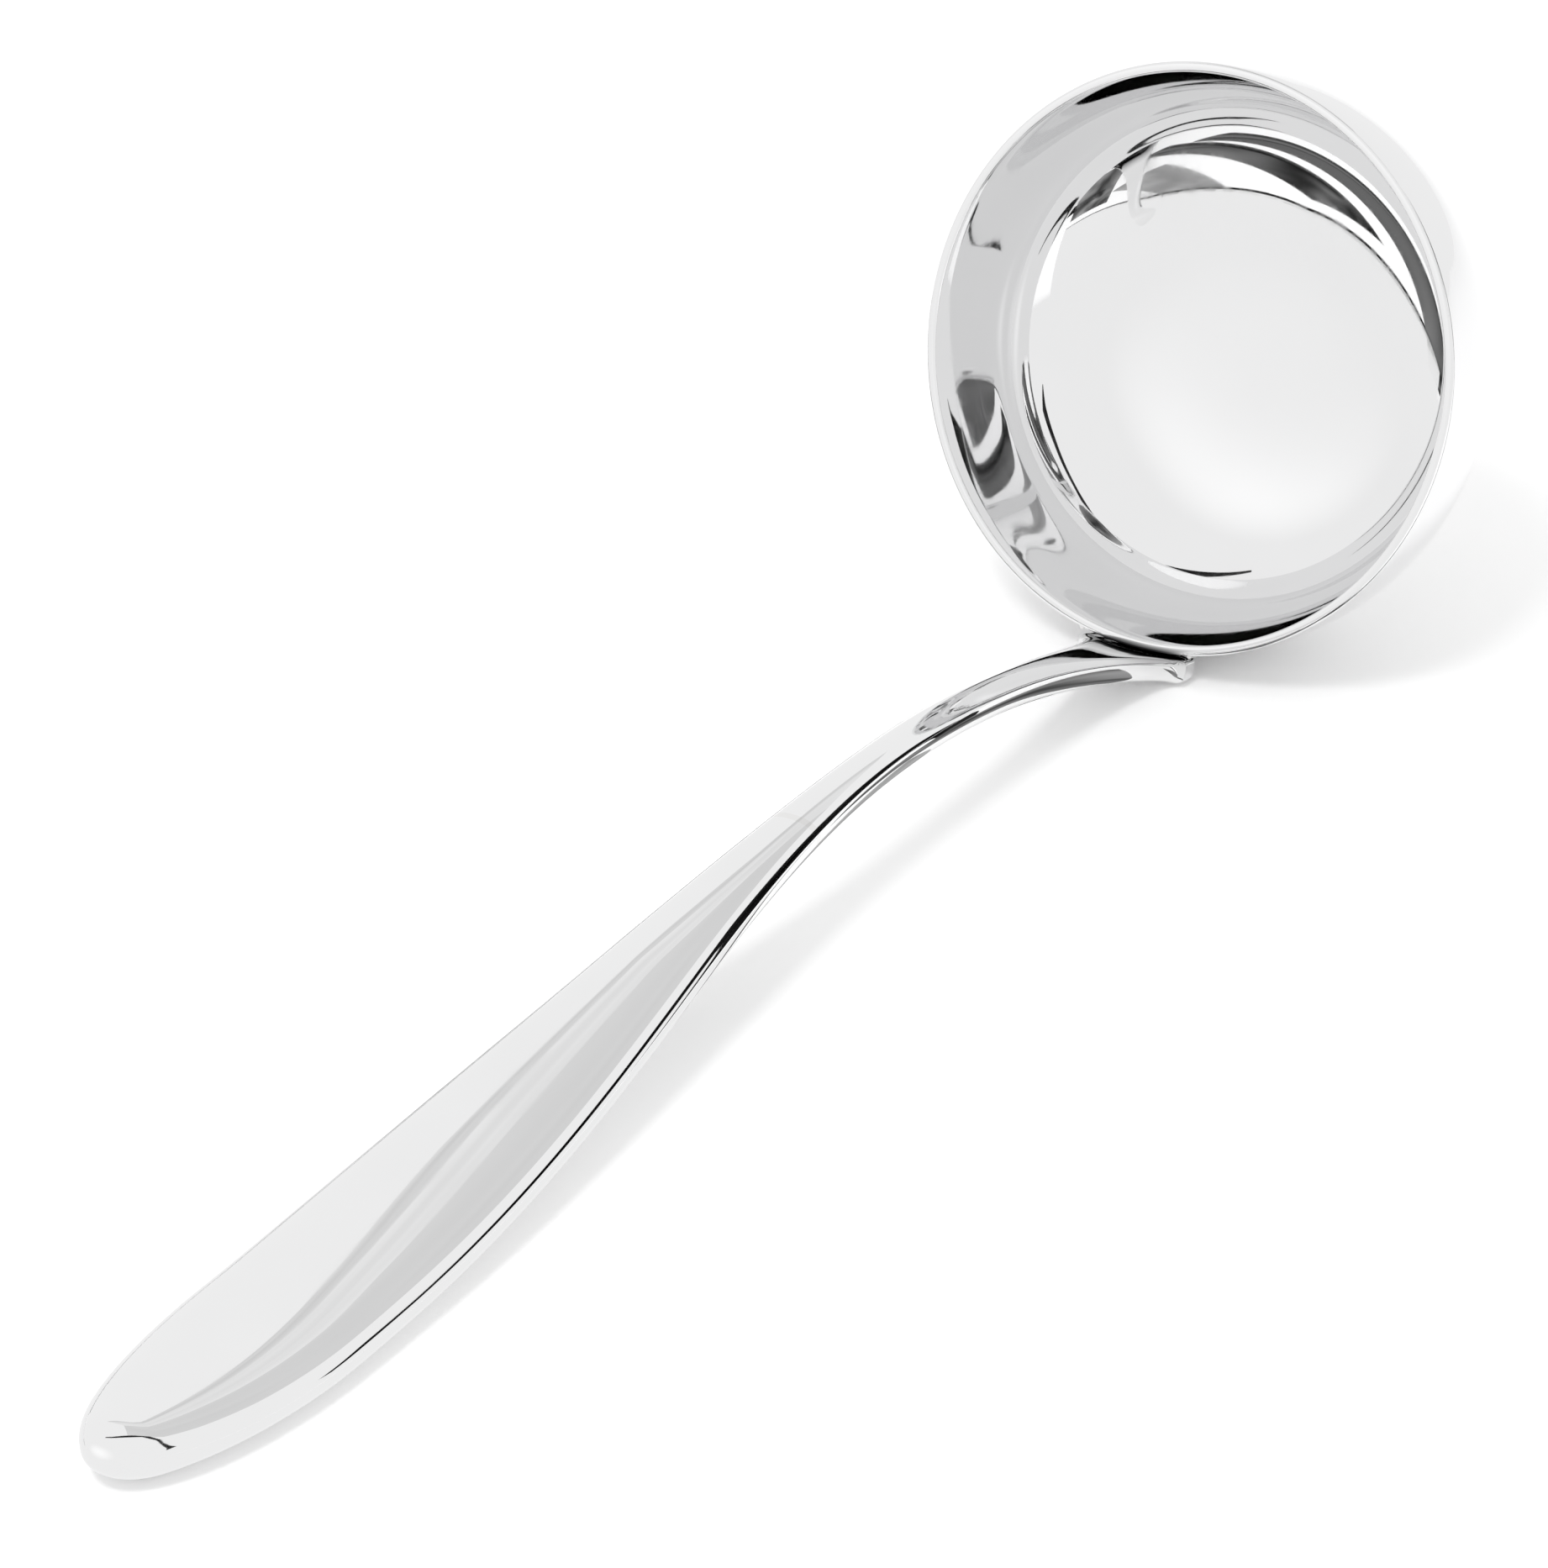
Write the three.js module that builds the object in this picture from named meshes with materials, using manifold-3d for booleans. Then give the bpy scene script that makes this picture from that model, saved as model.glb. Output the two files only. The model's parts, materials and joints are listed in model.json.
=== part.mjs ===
// Soup ladle in polished silver: a deep round bowl, a forged neck lapped on the bowl's wall,
// and a hollow handle of two struck halves. It lies at rest on the neck's shoe and the handle's belly.
// Millimetres, +Z up. The origin is on the table under the middle of the ladle,
// the handle points to -X and the bowl is towards +X.

import * as THREE from 'three';
import { mergeVertices } from 'three/addons/utils/BufferGeometryUtils.js';
import Module from 'manifold-3d';

const wasm = await Module();
wasm.setup();

// ---------- Driving dimensions ----------

// Bowl: a turned cup, a little fuller than an ellipse
const RIM_RADIUS = 45;
const BOWL_DEPTH = 33;
const BOWL_WALL = 1.6;
const BOWL_FULLNESS = 3.3;

// Handle line, measured from the neck's root at the rim: up the bowl's axis and out from it
const HANDLE_RISE = 234.5;
const HANDLE_SWEEP = 72.7;
const BEND_RISE = 126;
const BEND_SWEEP = 29.4;
const ROOT_LEAN = THREE.MathUtils.degToRad(-4.5);
const BEND_LEAN = THREE.MathUtils.degToRad(27.6);
const TIP_LEAN = THREE.MathUtils.degToRad(14);
const NECK_TENSION = 0.39;
const GRIP_TENSION = 0.37;

// Handle section: narrow at the neck, swelling to a flat leaf with a round end
const NECK_WIDTH = 6.4;
const NECK_THICKNESS = 5;
const GRIP_WIDTH = 26;
const GRIP_THICKNESS = 7;
const SWELL_FROM_ROOT = 67;
const WIDEST_FROM_TIP = 47;
const TIP_ROUND = 36;
const TIP_BLUNT = 6;
const SECTION_FULLNESS = 2.3;

// Shoe: the neck's flared foot, lapped on the outside of the bowl just under the rim
const SHOE_WIDTH = 19;
const SHOE_THICKNESS = 3.6;
const SHOE_FLARE = 44;
const SHOE_END = 2.4;
const SHOE_DROP = 8;
const SHOE_LAP = 1.2;
const SHOE_EDGE = 0.7;
const SHOE_FULLNESS = 5;
const PLUG_FULLNESS = 6;

// Hollow handle: where it meets the neck, its wall, and the neck's tang inside it
const NECK_LENGTH = 96;
const HANDLE_WALL = 1;
const TANG_LENGTH = 30;
const TANG_PLAY = 0.3;

// Solder: the ring at the handle's mouth and the bead round the shoe
const RING_LENGTH = 1.2;
const BEAD_SIZE = 1;

// Gap kept between pieces that are soldered together
const JOINT_GAP = 0.3;

// ---------- Fineness of the faceted solids ----------

const BOWL_SEGMENTS = 64;
const BOWL_RINGS = 12;
const SECTION_POINTS = 28;
const GRIP_STATIONS = 26;
const NECK_STATIONS = 10;
const FLARE_STATIONS = 9;
const SHOE_STATIONS = 7;
const TANG_STATIONS = 6;

// ---------- Working values ----------

// Points closer than this are one point, and no ring is thinner than this
const WELD = 1e-4;
const THINNEST = 0.02;

// How far a cutting body runs on past the face that it cuts
const OVERRUN = 1;

// Search for the resting lean: its steepest value, its number of halvings,
// and the share of the handle's rise that counts as the bowl's end
const STEEPEST_REST = THREE.MathUtils.degToRad(60);
const HALVINGS = 40;
const BOWL_END_SHARE = 1 / 3;

// ---------- Solids ----------

function solidOf(geometry) {
  const bare = geometry.clone();
  bare.deleteAttribute('normal');
  bare.deleteAttribute('uv');
  const merged = mergeVertices(bare, WELD);
  return new wasm.Manifold(new wasm.Mesh({
    numProp: 3,
    vertProperties: new Float32Array(merged.attributes.position.array),
    triVerts: new Uint32Array(merged.index.array),
  }));
}

function meshOf(solid, name, material) {
  const cut = solid.getMesh();
  const geometry = new THREE.BufferGeometry();
  geometry.setAttribute('position', new THREE.BufferAttribute(cut.vertProperties, 3));
  geometry.setIndex(new THREE.BufferAttribute(cut.triVerts, 1));
  geometry.computeVertexNormals();
  const mesh = new THREE.Mesh(geometry, material);
  mesh.name = name;
  return mesh;
}

// A closed skin over rings of points, each ring running anticlockwise round the way the rings go.
function loft(rings) {
  const count = rings[0].length;
  const last = rings.length - 1;
  const points = rings.flat();
  const startCentre = points.length;
  const endCentre = startCentre + 1;
  points.push(middle(rings[0]), middle(rings[last]));
  const faces = [];
  for (let j = 0; j < count; j++) {
    const next = (j + 1) % count;
    for (let i = 0; i < last; i++) {
      const here = i * count;
      const ahead = here + count;
      faces.push(here + j, here + next, ahead + next);
      faces.push(here + j, ahead + next, ahead + j);
    }
    faces.push(startCentre, next, j);
    faces.push(endCentre, last * count + j, last * count + next);
  }
  const geometry = new THREE.BufferGeometry().setFromPoints(points);
  geometry.setIndex(faces);
  return solidOf(geometry);
}

function middle(ring) {
  const sum = new THREE.Vector3();
  ring.forEach((point) => sum.add(point));
  return sum.divideScalar(ring.length);
}

// Values from start to end, crowded towards both ends where crowd is true.
function stations(start, end, count, crowd) {
  const values = [];
  for (let i = 0; i <= count; i++) {
    const share = crowd ? (1 - Math.cos(Math.PI * i / count)) / 2 : i / count;
    values.push(THREE.MathUtils.lerp(start, end, share));
  }
  return values;
}

// ---------- Bowl ----------

// The bowl's radius at a height under the rim, for a body this much bigger than the bowl's outside.
function bowlRadius(height, grow) {
  const share = Math.min(1, Math.abs(height) / (BOWL_DEPTH + grow));
  return (RIM_RADIUS + grow) * Math.pow(1 - Math.pow(share, BOWL_FULLNESS), 1 / BOWL_FULLNESS);
}

function bowlOutline(grow) {
  const outline = [];
  for (let i = 0; i <= BOWL_RINGS; i++) {
    const angle = Math.PI / 2 * i / BOWL_RINGS;
    const height = (BOWL_DEPTH + grow) * Math.pow(Math.cos(angle), 2 / BOWL_FULLNESS);
    const radius = (RIM_RADIUS + grow) * Math.pow(Math.sin(angle), 2 / BOWL_FULLNESS);
    outline.push(new THREE.Vector2(i === 0 ? 0 : radius, i === BOWL_RINGS ? 0 : -height));
  }
  return outline;
}

function turned(outline) {
  const lathe = new THREE.LatheGeometry(outline, BOWL_SEGMENTS);
  return solidOf(lathe.rotateX(Math.PI / 2));
}

function bowlShell() {
  const inner = bowlOutline(-BOWL_WALL).reverse();
  return turned([...bowlOutline(0), ...inner]);
}

// The whole body of the bowl with a gap round it, carried up past the rim, to cut its neighbours with.
function bowlCutter(grow, top) {
  const outline = bowlOutline(grow);
  outline.push(new THREE.Vector2(RIM_RADIUS + grow, top), new THREE.Vector2(0, top));
  return turned(outline);
}

// ---------- Handle line ----------

const ROOT_RADIUS = RIM_RADIUS + JOINT_GAP + SHOE_THICKNESS / 2;

function leaning(angle, length) {
  return new THREE.Vector2(Math.sin(angle), Math.cos(angle)).multiplyScalar(length);
}

function bend(start, startLean, end, endLean, tension) {
  const pull = start.distanceTo(end) * tension;
  const leave = start.clone().add(leaning(startLean, pull));
  const arrive = end.clone().sub(leaning(endLean, pull));
  return new THREE.CubicBezierCurve(start, leave, arrive, end);
}

function handleLine() {
  const root = new THREE.Vector2(ROOT_RADIUS, 0);
  const knee = new THREE.Vector2(ROOT_RADIUS + BEND_SWEEP, BEND_RISE);
  const tip = new THREE.Vector2(ROOT_RADIUS + HANDLE_SWEEP, HANDLE_RISE);
  const line = new THREE.CurvePath();
  line.add(bend(root, ROOT_LEAN, knee, BEND_LEAN, NECK_TENSION));
  line.add(bend(knee, BEND_LEAN, tip, TIP_LEAN, GRIP_TENSION));
  return line;
}

const LINE = handleLine();
const LINE_LENGTH = LINE.getLength();
const INWARD_AT_RIM = new THREE.Vector2(-1, 0);

// ---------- Widths and thicknesses along the handle's line ----------

function ease(share) {
  const clamped = THREE.MathUtils.clamp(share, 0, 1);
  return (1 - Math.cos(Math.PI * clamped)) / 2;
}

function swell(along) {
  const widest = LINE_LENGTH - WIDEST_FROM_TIP;
  return ease((along - SWELL_FROM_ROOT) / (widest - SWELL_FROM_ROOT));
}

// How far a round end has opened, at a distance from the tip.
function roundEnd(fromTip, length) {
  const share = THREE.MathUtils.clamp(fromTip / length, 0, 1);
  return Math.sqrt(1 - (1 - share) ** 2);
}

// How far the shoe's flare has spread, from 0 at its top to 1 at the rim.
function flare(along) {
  const share = THREE.MathUtils.clamp(1 - along / SHOE_FLARE, 0, 1);
  return 1 - Math.sqrt(1 - share ** 2);
}

function halfWidth(along) {
  const body = THREE.MathUtils.lerp(NECK_WIDTH, GRIP_WIDTH, swell(along));
  const foot = (SHOE_WIDTH - NECK_WIDTH) * flare(along);
  return (body + foot) / 2 * roundEnd(LINE_LENGTH - along, TIP_ROUND);
}

function halfThickness(along) {
  const neck = THREE.MathUtils.lerp(SHOE_THICKNESS, NECK_THICKNESS, ease(along / SHOE_FLARE));
  const body = THREE.MathUtils.lerp(neck, GRIP_THICKNESS, swell(along));
  return body / 2 * roundEnd(LINE_LENGTH - along, TIP_BLUNT);
}

// A full oval ring: half a width across, and its own half thickness on the inner and outer side.
function oval(centre, inward, across, inner, outer, fullness) {
  const ring = [];
  for (let j = 0; j < SECTION_POINTS; j++) {
    const angle = 2 * Math.PI * j / SECTION_POINTS;
    const cos = Math.cos(angle);
    const sin = Math.sin(angle);
    const side = across * Math.sign(cos) * Math.pow(Math.abs(cos), 2 / fullness);
    const depth = sin > 0 ? inner : outer;
    const rise = depth * Math.sign(sin) * Math.pow(Math.abs(sin), 2 / fullness);
    ring.push(new THREE.Vector3(centre.x + inward.x * rise, side, centre.y + inward.y * rise));
  }
  return ring;
}

// Where the handle's line is at a distance along it, and the way to the handle's inner (upper) face.
function lineFrame(along) {
  const share = along / LINE_LENGTH;
  const tangent = LINE.getTangent(share);
  return { centre: LINE.getPoint(share), inward: new THREE.Vector2(-tangent.y, tangent.x) };
}

// The handle's ring at a distance along its line, grown by an amount all round.
function handleRing(along, grow) {
  const { centre, inward } = lineFrame(along);
  const risen = ease(along / SHOE_FLARE);
  const across = Math.max(halfWidth(along) + grow, THINNEST);
  const thick = Math.max(halfThickness(along) + grow, THINNEST);
  const fullness = THREE.MathUtils.lerp(SHOE_FULLNESS, SECTION_FULLNESS, risen);
  return wrapped(oval(centre, inward, across, thick, thick, fullness), 1 - risen);
}

// A ring pulled in to follow the bowl's round wall, wholly where share is 1:
// all the way on its inner face, half way at its edges, and not on its outer face, which stays flat.
function wrapped(ring, share) {
  ring.forEach((point, j) => {
    const innerness = (1 + Math.sin(2 * Math.PI * j / SECTION_POINTS)) / 2;
    const side = Math.min(Math.abs(point.y), RIM_RADIUS);
    point.x -= share * innerness * (RIM_RADIUS - Math.sqrt(RIM_RADIUS ** 2 - side ** 2));
  });
  return ring;
}

// ---------- Neck and shoe ----------

// Half the shoe's width at a depth under the rim: straight ends, then a round tongue.
function shoeHalfWidth(depth) {
  const tongue = THREE.MathUtils.clamp((depth - SHOE_END) / (SHOE_DROP - SHOE_END), 0, 1);
  return SHOE_WIDTH / 2 * Math.sqrt(1 - tongue ** 2);
}

// The shoe's outer face runs down into the bowl's wall. Its inner side is deep, and is cut to the bowl.
function shoeRings() {
  const rimFace = ROOT_RADIUS + SHOE_THICKNESS / 2;
  const lowFace = bowlRadius(SHOE_DROP, JOINT_GAP) + SHOE_EDGE;
  return stations(SHOE_DROP, 0, SHOE_STATIONS, true).map((depth) => {
    const face = THREE.MathUtils.lerp(rimFace, lowFace, (depth / SHOE_DROP) ** 2);
    const centre = new THREE.Vector2(face - SHOE_THICKNESS / 2, -depth);
    const across = Math.max(shoeHalfWidth(depth), THINNEST);
    const ring = oval(centre, INWARD_AT_RIM, across, SHOE_THICKNESS, SHOE_THICKNESS / 2, SHOE_FULLNESS);
    return wrapped(ring, 1);
  });
}

// A plug with the shoe's outline grown by a margin, going right through the bowl's wall, to cut with.
function shoePlug(margin) {
  const deepest = SHOE_DROP + margin;
  const rings = stations(deepest, -margin, SHOE_STATIONS, true).map((depth) => {
    const across = shoeHalfWidth(depth * SHOE_DROP / deepest) + margin;
    const centre = new THREE.Vector2(ROOT_RADIUS, -depth);
    const reach = 2 * SHOE_THICKNESS;
    return wrapped(oval(centre, INWARD_AT_RIM, across, reach, reach, PLUG_FULLNESS), 1);
  });
  return loft(rings);
}

function bladeRings(end) {
  const flared = stations(SHOE_LAP, SHOE_FLARE, FLARE_STATIONS, true);
  const straight = stations(SHOE_FLARE, end, NECK_STATIONS, false).slice(1);
  return [...flared, ...straight].map((along) => handleRing(along, 0));
}

// The tang keeps the size of the handle's mouth along its whole length.
function tang(start) {
  const across = halfWidth(NECK_LENGTH) - HANDLE_WALL - TANG_PLAY;
  const thick = halfThickness(NECK_LENGTH) - HANDLE_WALL - TANG_PLAY;
  const rings = stations(start, NECK_LENGTH + TANG_LENGTH, TANG_STATIONS, false).map((along) => {
    const { centre, inward } = lineFrame(along);
    return oval(centre, inward, across, thick, thick, SECTION_FULLNESS);
  });
  return loft(rings);
}

function neckShank() {
  const shoulder = NECK_LENGTH - RING_LENGTH - 2 * JOINT_GAP;
  const forging = loft([...shoeRings(), ...bladeRings(shoulder)]);
  const blade = forging.subtract(bowlCutter(JOINT_GAP, SHOE_LAP + JOINT_GAP));
  return blade.add(tang(shoulder - TANG_LENGTH / TANG_STATIONS));
}

// ---------- Hollow handle ----------

function gripBody(start, end, grow) {
  return loft(stations(start, end, GRIP_STATIONS, true).map((along) => handleRing(along, grow)));
}

function gripShell() {
  const hollowEnd = LINE_LENGTH - HANDLE_WALL;
  const hollow = gripBody(NECK_LENGTH - OVERRUN, hollowEnd, -HANDLE_WALL);
  return gripBody(NECK_LENGTH, LINE_LENGTH, 0).subtract(hollow);
}

// Everything on one side of the parting surface that follows the handle's line: side 1 is the inner face's.
function halfSpace(side) {
  const near = [];
  const far = [];
  for (const along of stations(NECK_LENGTH - OVERRUN, LINE_LENGTH, GRIP_STATIONS, false)) {
    const { centre, inward } = lineFrame(along);
    near.push(centre.clone().addScaledVector(inward, side * JOINT_GAP / 2));
    far.push(centre.clone().addScaledVector(inward, side * GRIP_THICKNESS));
  }
  const beyond = leaning(TIP_LEAN, OVERRUN);
  const ends = [near, far].map((edge) => edge[edge.length - 1].clone().add(beyond));
  const outline = new THREE.Shape([...near, ...ends, ...far.reverse()]);
  const block = new THREE.ExtrudeGeometry(outline, { depth: 2 * GRIP_WIDTH, bevelEnabled: false });
  return solidOf(block.rotateX(Math.PI / 2).translate(0, GRIP_WIDTH, 0));
}

// ---------- Solder ----------

// A ring between the neck's shoulder and the mouth of the hollow handle, flush with both.
function mouthRing() {
  const end = NECK_LENGTH - JOINT_GAP;
  const start = end - RING_LENGTH;
  const outside = loft([start, end].map((along) => handleRing(along, 0)));
  const bore = loft([start - OVERRUN, end + OVERRUN].map((along) => handleRing(along, -HANDLE_WALL)));
  return outside.subtract(bore);
}

// A bead in the corner between the shoe's edge and the bowl's wall, from one end of the shoe to the other.
function shoeBead() {
  const band = bowlCutter(JOINT_GAP + BEAD_SIZE, 0).subtract(bowlCutter(JOINT_GAP, 0));
  const bead = shoePlug(JOINT_GAP + BEAD_SIZE).intersect(band).subtract(shoePlug(JOINT_GAP));
  return bead.trimByPlane([0, 0, -1], JOINT_GAP);
}

// ---------- The ladle in its own frame: +X from the bowl's axis to the handle, +Z out of it ----------

const silver = new THREE.MeshStandardMaterial({ color: 0xd6d6d8, roughness: 0.06, metalness: 1 });
const gripSilver = new THREE.MeshStandardMaterial({ color: 0xdcdcdd, roughness: 0.08, metalness: 1 });
const solder = new THREE.MeshStandardMaterial({ color: 0xa9a8a6, roughness: 0.35, metalness: 1 });

const grip = gripShell();
const ladle = new THREE.Group();
ladle.add(
  meshOf(bowlShell(), 'bowl_shell', silver),
  meshOf(neckShank(), 'neck_shank', gripSilver),
  meshOf(grip.intersect(halfSpace(1)), 'handle_upper_half', gripSilver),
  meshOf(grip.intersect(halfSpace(-1)), 'handle_lower_half', gripSilver),
  meshOf(mouthRing(), 'handle_mouth_ring', solder),
  meshOf(shoeBead(), 'shoe_bead', solder),
);

// ---------- At rest: tipped over until its bowl end and its grip both touch the table ----------

// Points of all the pieces, as distance out from the bowl's axis and height over the rim.
function sidePoints(group) {
  const points = [];
  for (const mesh of group.children) {
    const position = mesh.geometry.attributes.position;
    for (let i = 0; i < position.count; i++) {
      points.push(new THREE.Vector2(position.getX(i), position.getZ(i)));
    }
  }
  return points;
}

// The angle between the table and the bowl's axis at which both ends reach equally far down.
function restLean(points) {
  const parting = HANDLE_RISE * BOWL_END_SHARE;
  const bowlEnd = points.filter((point) => point.y < parting);
  const gripEnd = points.filter((point) => point.y >= parting);
  let low = 0;
  let high = STEEPEST_REST;
  for (let step = 0; step < HALVINGS; step++) {
    const lean = (low + high) / 2;
    const down = new THREE.Vector2(Math.cos(lean), -Math.sin(lean));
    const reach = (set) => set.reduce((most, point) => Math.max(most, point.dot(down)), -Infinity);
    if (reach(gripEnd) > reach(bowlEnd)) low = lean;
    else high = lean;
  }
  return low;
}

const lean = restLean(sidePoints(ladle));
const axisX = new THREE.Vector3(-Math.sin(lean), 0, -Math.cos(lean));
const axisY = new THREE.Vector3(0, -1, 0);
const axisZ = new THREE.Vector3(-Math.cos(lean), 0, Math.sin(lean));
ladle.setRotationFromMatrix(new THREE.Matrix4().makeBasis(axisX, axisY, axisZ));

const laid = new THREE.Group();
laid.add(ladle);
const box = new THREE.Box3().setFromObject(laid, true);
const foot = box.getCenter(new THREE.Vector3()).setZ(box.min.z);
ladle.position.sub(foot);

export default laid;
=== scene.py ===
"""Soup ladle in mirror-polished silver, lying on a pale studio floor.

A spun bowl, a forged neck lapped on the bowl's wall, a hollow handle of two struck halves,
and the solder that joins them. Everything is in metres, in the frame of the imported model:
+Z up from the table, the handle's tip towards -X and the bowl towards +X.
"""

import json
import math

import bpy
from mathutils import Matrix, Vector


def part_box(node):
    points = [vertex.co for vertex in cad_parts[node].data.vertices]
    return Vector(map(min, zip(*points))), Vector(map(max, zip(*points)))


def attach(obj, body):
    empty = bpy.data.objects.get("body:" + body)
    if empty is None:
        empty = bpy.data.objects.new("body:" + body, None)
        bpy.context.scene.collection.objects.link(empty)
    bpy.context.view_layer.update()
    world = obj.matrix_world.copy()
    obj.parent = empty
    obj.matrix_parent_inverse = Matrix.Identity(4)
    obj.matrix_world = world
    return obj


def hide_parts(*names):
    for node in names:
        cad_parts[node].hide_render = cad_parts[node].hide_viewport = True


bl_info = {
    "name": "Silver soup ladle",
    "version": (1, 0, 0),
    "blender": (4, 5, 0),
    "location": "View3D > Sidebar > Ladle",
    "description": "Builds a mirror-polished soup ladle and its studio stage",
    "category": "Add Mesh",
}

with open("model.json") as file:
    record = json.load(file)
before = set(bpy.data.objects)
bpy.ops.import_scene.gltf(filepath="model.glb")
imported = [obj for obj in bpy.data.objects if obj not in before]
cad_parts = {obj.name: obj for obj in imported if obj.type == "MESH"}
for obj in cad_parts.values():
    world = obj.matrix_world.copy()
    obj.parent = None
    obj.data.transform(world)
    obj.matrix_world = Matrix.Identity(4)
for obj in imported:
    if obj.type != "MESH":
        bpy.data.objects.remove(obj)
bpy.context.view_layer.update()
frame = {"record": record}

MM = 0.001
BODY = "root"
MERGE_DISTANCE = 1e-6  # points closer than this are one point
ON_PARTING = 1e-7  # how close to the parting a point has to be to lie on it
SHARP_EDGE = math.radians(50)  # edges bent by more than this stay sharp
# painted shade: the near-black that the neck's inner face is darkened towards in the soldered corner at the
# rim
PAINTED_SHADE_COLOUR = (0.012, 0.012, 0.013, 1)

# The ladle's own axes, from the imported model: out of the bowl, from the bowl to the handle, and across
RIM_MOUNT = next(m for m in frame["record"]["mounts"] if m["name"] == "bowl_rim")
OUT_OF_BOWL = Vector(RIM_MOUNT["axis"]).normalized()
TO_HANDLE = Vector((-OUT_OF_BOWL.z, 0, OUT_OF_BOWL.x))
ACROSS = OUT_OF_BOWL.cross(TO_HANDLE)
BOWL_LOW, BOWL_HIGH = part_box("bowl_shell")
RIM_RADIUS = (BOWL_HIGH.y - BOWL_LOW.y) / 2


# ---------- Sizes and finishes that a user would change ----------


def length(name, description, default_mm):
    """A length property in metres, its default given in millimetres."""
    return bpy.props.FloatProperty(
        name=name, description=description, default=default_mm * MM,
        min=0, precision=5, subtype="DISTANCE", unit="LENGTH",
    )


def lean(name, description, default_degrees):
    """An angle property, its default given in degrees."""
    return bpy.props.FloatProperty(
        name=name, description=description, default=math.radians(default_degrees),
        subtype="ANGLE", unit="ROTATION",
    )


def share(name, description, default, most=1.0):
    """A plain number from 0 to most."""
    return bpy.props.FloatProperty(
        name=name, description=description, default=default, min=0, max=most, precision=3,
    )


def number_of(name, description, default):
    """A whole number of steps."""
    return bpy.props.IntProperty(name=name, description=description, default=default, min=3)


def colour(name, description, default):
    """A colour without alpha."""
    return bpy.props.FloatVectorProperty(
        name=name, description=description, default=default, subtype="COLOR", size=3, min=0, max=1,
    )


class BowlSizes(bpy.types.PropertyGroup):
    """Sizes of the spun bowl."""

    depth: length("Depth", "From the rim's plane to the outside of the bottom", 32.98)
    wall: length("Wall", "Thickness of the metal", 1.6)
    rim_round: length("Rim rounding", "Radius of the rim's two edges", 0.5)
    fullness: share("Fullness", "2 is an ellipse, more is a fuller shoulder", 3.3, 6)
    wall_steps: number_of("Wall steps", "Points from the bottom to the rim", 72)
    spin_steps: number_of("Spin steps", "Steps round the bowl", 256)


class HandleSizes(bpy.types.PropertyGroup):
    """Sizes of the neck and the hollow handle, along a line that starts at the rim."""

    rise: length("Rise", "From the rim's plane to the tip, along the bowl's axis", 234.5)
    sweep: length("Sweep", "How far the tip is out from the root", 72.7)
    bend_rise: length("Bend rise", "Height of the bend over the rim", 126)
    bend_sweep: length("Bend sweep", "How far the bend is out from the root", 29.4)
    root_lean: lean("Root lean", "Lean of the line at the rim", -4.5)
    bend_lean: lean("Bend lean", "Lean of the line at the bend", 27.6)
    tip_lean: lean("Tip lean", "Lean of the line at the tip", 14)
    neck_tension: share("Neck tension", "How long the line keeps its lean at the neck", 0.39)
    grip_tension: share("Grip tension", "How long the line keeps its lean at the grip", 0.37)
    neck_width: length("Neck width", "Width of the neck", 6.4)
    neck_thickness: length("Neck thickness", "Thickness of the neck", 5)
    grip_width: length("Grip width", "Width of the leaf at its widest", 26)
    grip_thickness: length("Grip thickness", "Thickness of the leaf", 7)
    swell_start: length("Swell start", "Where the leaf begins to swell, from the root", 67)
    widest: length("Widest", "Where the leaf is widest, from the tip", 47)
    tip_round: length("Tip rounding", "Length of the leaf's round end", 36)
    tip_blunt: length("Tip bluntness", "Length over which the tip closes in thickness", 6)
    section_fullness: share("Section fullness", "2 is an oval section, more is flatter", 2.3, 6)
    neck_length: length("Neck length", "Where the neck meets the hollow handle, from the root", 96)
    ring_length: length("Ring length", "Length of the solder ring there", 1.2)
    wall: length("Wall", "Thickness of the struck halves", 1)
    section_points: number_of("Section points", "Points round the section", 64)
    stations: number_of("Stations", "Rings along the handle", 150)


class ShoeSizes(bpy.types.PropertyGroup):
    """Sizes of the neck's flared foot, lapped on the bowl's wall."""

    width: length("Width", "Width at the rim", 19)
    thickness: length("Thickness", "Thickness at the rim", 3.6)
    flare: length("Flare", "Length over which the foot spreads", 44)
    drop: length("Drop", "How far it reaches under the rim", 8)
    shoulder: length("Shoulder", "Length of its straight sides under the rim", 2.4)
    edge: length("Edge", "Thickness at its lower end", 0.7)
    gap: length("Solder film", "Between the shoe and the bowl's wall", 0.3)
    bead: length("Bead", "Radius of the solder bead round the shoe", 0.4)
    fullness: share("Fullness", "2 is an oval section, more is squarer", 5, 8)
    # painted shade: how far up the neck the painted dark of the soldered corner reaches
    crease_shade: length("Painted shade", "How far the dark of the soldered corner reaches up the neck", 15)
    steps: number_of("Steps", "Rings from the rim to the lower end", 14)


class SilverFinish(bpy.types.PropertyGroup):
    """Colour and polish of the metal."""

    bowl_colour: colour("Bowl silver", "Colour of the bowl's silver", (0.88, 0.88, 0.883))
    handle_colour: colour("Handle silver", "Colour of the handle's silver", (0.9, 0.9, 0.902))
    solder_colour: colour("Silver solder", "Colour of the solder", (0.86, 0.855, 0.85))
    polish: share("Polish", "Roughness of the polished metal", 0.025)
    buffing: share("Buffing marks", "How much the buffing marks roughen the polish", 0.05)


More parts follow.
